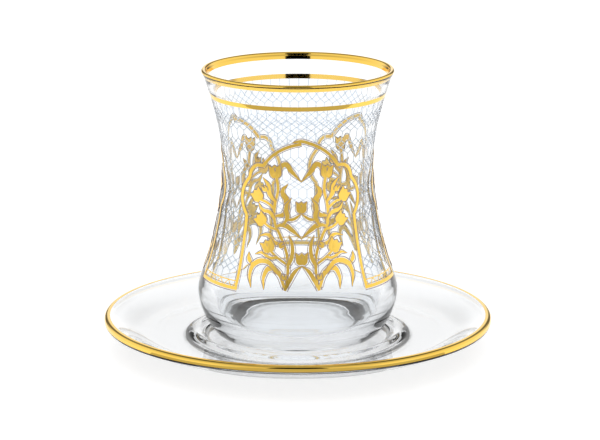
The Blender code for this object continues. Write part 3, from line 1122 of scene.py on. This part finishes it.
class TEAGLASS_OT_add_net(bpy.types.Operator):
    """Etch the fine net between and above the arches"""

    bl_idname = "tea_glass.add_net"
    bl_label = "Etched net"

    def execute(self, context):
        settings = context.scene.tea_glass
        sizes = settings.ornament
        form = wrap_form()
        net = draw_strokes("etched_net", net_strokes(sizes), 12)
        spacing = TURN / sizes.net_lines * sizes.flat_radius
        apply_modifier(
            net,
            "ARRAY",
            count=sizes.net_lines,
            use_relative_offset=False,
            use_constant_offset=True,
            constant_offset_displace=(spacing, 0, 0),
        )
        net.location.x = -spacing * (sizes.net_lines - 1) / 2
        apply_place(net)
        self.clear_arches(net, sizes)
        face_front(net)
        lay_on_glass(net, form, NET_ROOT, NET_TOP)
        net.rotation_euler.z = sizes.arch_turn
        apply_place(net)
        finish_piece(net, frosted_material("etched line", settings.finish.etched), "clear_glass")
        bpy.data.objects.remove(form, do_unlink=True)
        return {"FINISHED"}

    def clear_arches(self, net, sizes):
        """Delete what lies inside the arches and below the panels."""
        outline = arch_outline(sizes)
        third = flat_angle(TURN / sizes.arches)
        low = sizes.leg_foot / MM + ZIGZAG_HEIGHT
        select_only(net)
        for face in net.data.polygons:
            across = face.center.x / MM
            height = face.center.z / MM
            across = (across + third / 2) % third - third / 2
            face.select = height < low or is_inside(outline, across, height)
        bpy.ops.object.mode_set(mode="EDIT")
        bpy.ops.mesh.delete(type="FACE")
        bpy.ops.object.mode_set(mode="OBJECT")


CAMERA_PLACE = (0.0, -0.85487, 0.24836)
CAMERA_TILT = 76.452
CAMERA_LENS = 162.0
CAMERA_SHIFT = 0.00375

# Brightness of the surroundings, as stops (position, brightness) along a direction.
THROUGH_BY_HEIGHT = ((0.0, 1.0), (0.62, 1.0), (0.82, 0.62), (1.0, 0.50))
THROUGH_BY_SIDE = ((0.15, 1.0), (0.30, 0.38), (0.55, 0.2), (0.85, 0.3))
GLOSS_BY_HEIGHT = ((0.0, 1.1), (0.45, 1.0), (0.75, 0.7), (0.95, 0.45))
GLOSS_BY_SIDE = ((0.12, 1.0), (0.25, 0.15), (0.42, 0.15), (0.65, 1.0))
MATT_BY_SIDE = ((0.0, 1.1), (0.45, 1.05), (0.95, 0.15))
SIDE_COUNTS = ((0.0, 0.0), (0.2, 1.0))
CARD_COVER = ((0.22, 1.0), (0.5, 0.0))


class TEAGLASS_OT_add_stage(bpy.types.Operator):
    """Add the pale floor, the white surroundings, the cards and the camera"""

    bl_idname = "tea_glass.add_stage"
    bl_label = "Stage"

    def execute(self, context):
        self.add_floor(context.scene.tea_glass.finish.floor)
        self.add_world(context.scene)
        black = self.add_card("black_card", (0.0, -0.60, 0.75), 90.0, (0.38, 0.90), 0.0, soft=False)
        black.visible_transmission = True
        self.add_card("front_card", (0.0, -0.61, 0.15), 90.0, (1.40, 0.30), 0.58, soft=True)
        self.add_card("lower_card", (0.0, -0.32, 0.001), 0.0, (0.60, 0.56), 0.58, soft=True)
        self.add_camera(context.scene)
        context.scene.view_settings.view_transform = "Standard"
        return {"FINISHED"}

    def add_floor(self, colour):
        to_object_mode()
        bpy.ops.mesh.primitive_plane_add(size=12.0, location=(0, 0, -0.05 * MM))
        floor = bpy.context.object
        floor.name = "pale_floor"
        floor.data.materials.append(matt_light_material("pale floor", colour, 0.72)[0])

    def add_world(self, scene):
        """White surroundings, darker overhead, and darker at the sides of what lies behind.

        What is seen through glass, what gloss mirrors and what lights matt surfaces differ.
        """
        world = bpy.data.worlds.new("studio")
        world.cycles.sampling_method = "NONE"
        scene.world = world
        world.use_nodes = True
        tree = world.node_tree
        place = tree.nodes.new("ShaderNodeTexCoord")
        across, split = distance_across(tree, place.outputs["Generated"])
        behind = grey_ramp(tree, split.outputs["Y"], SIDE_COUNTS)
        above = split.outputs["Z"]
        through = self.darker(tree, behind, (above, THROUGH_BY_HEIGHT), (across, THROUGH_BY_SIDE))
        mirrored = self.darker(tree, behind, (above, GLOSS_BY_HEIGHT), (across, GLOSS_BY_SIDE))
        scattered = grey_ramp(tree, across, MATT_BY_SIDE)
        path = tree.nodes.new("ShaderNodeLightPath")
        gloss = tree.nodes.new("ShaderNodeMath")
        gloss.operation = "SUBTRACT"
        gloss.use_clamp = True
        tree.links.new(path.outputs["Is Glossy Ray"], gloss.inputs[0])
        tree.links.new(path.outputs["Is Transmission Ray"], gloss.inputs[1])
        seen = mixed(tree, "RGBA", gloss.outputs["Value"], through, mirrored)
        light = mixed(tree, "RGBA", path.outputs["Is Diffuse Ray"], seen, scattered)
        background = tree.nodes["Background"]
        tree.links.new(light, background.inputs["Color"])
        background.inputs["Strength"].default_value = 1.0

    def darker(self, tree, where, by_height, by_side):
        """Brightness by height, times the brightness by side where that counts."""
        base = grey_ramp(tree, *by_height)
        shade = grey_ramp(tree, *by_side)
        return mixed(tree, "RGBA", where, base, shade, "MULTIPLY")

    def add_card(self, name, place, tilt, size, brightness, soft):
        """Card that gloss can see and the camera can't, for the darker places in the polished gold."""
        to_object_mode()
        bpy.ops.mesh.primitive_plane_add(size=1.0, location=place, rotation=(math.radians(tilt), 0, 0))
        card = bpy.context.object
        card.name = name
        card.scale = (*size, 1.0)
        material, shader = matt_light_material(name, (0.0, 0.0, 0.0), brightness)
        if soft:
            tree = material.node_tree
            spot = tree.nodes.new("ShaderNodeTexCoord")
            across = distance_across(tree, spot.outputs["Object"])[0]
            tree.links.new(grey_ramp(tree, across, CARD_COVER), shader.inputs["Alpha"])
        card.data.materials.append(material)
        for kind in ("camera", "diffuse", "transmission", "volume_scatter", "shadow"):
            setattr(card, f"visible_{kind}", False)
        return card

    def add_camera(self, scene):
        to_object_mode()
        bpy.ops.object.camera_add(location=CAMERA_PLACE, rotation=(math.radians(CAMERA_TILT), 0, 0))
        camera = bpy.context.object
        camera.name = "camera"
        camera.data.lens = CAMERA_LENS
        camera.data.sensor_width = 36.0
        camera.data.shift_x = CAMERA_SHIFT
        scene.camera = camera


class TEAGLASS_PT_panel(bpy.types.Panel):
    """Lists the pieces of the tea glass and their sizes"""

    bl_label = "Tea Glass"
    bl_idname = "TEAGLASS_PT_panel"
    bl_space_type = "VIEW_3D"
    bl_region_type = "UI"
    bl_category = "Tea Glass"

    def draw(self, context):
        layout = self.layout
        for operator in OPERATORS:
            layout.operator(operator.bl_idname)
        settings = context.scene.tea_glass
        for group in (settings.glass, settings.saucer, settings.gold, settings.ornament, settings.finish):
            box = layout.box()
            for name in group.__annotations__:
                box.prop(group, name)


OPERATORS = (
    TEAGLASS_OT_add_saucer,
    TEAGLASS_OT_add_glass,
    TEAGLASS_OT_add_gold_bands,
    TEAGLASS_OT_add_ornament,
    TEAGLASS_OT_add_net,
    TEAGLASS_OT_add_stage,
)
GROUPS = (GlassSizes, SaucerSizes, GoldSizes, OrnamentSizes, Finishes, TeaGlassSettings)


def register():
    for item in GROUPS + OPERATORS + (TEAGLASS_PT_panel,):
        bpy.utils.register_class(item)
    bpy.types.Scene.tea_glass = bpy.props.PointerProperty(type=TeaGlassSettings)


def unregister():
    del bpy.types.Scene.tea_glass
    for item in reversed(GROUPS + OPERATORS + (TEAGLASS_PT_panel,)):
        bpy.utils.unregister_class(item)


def main():
    register()
    bpy.ops.tea_glass.add_saucer()
    bpy.ops.tea_glass.add_glass()
    bpy.ops.tea_glass.add_gold_bands()
    bpy.ops.tea_glass.add_ornament()
    bpy.ops.tea_glass.add_net()
    bpy.ops.tea_glass.add_stage()
    to_object_mode()


if __name__ == "__main__":
    main()
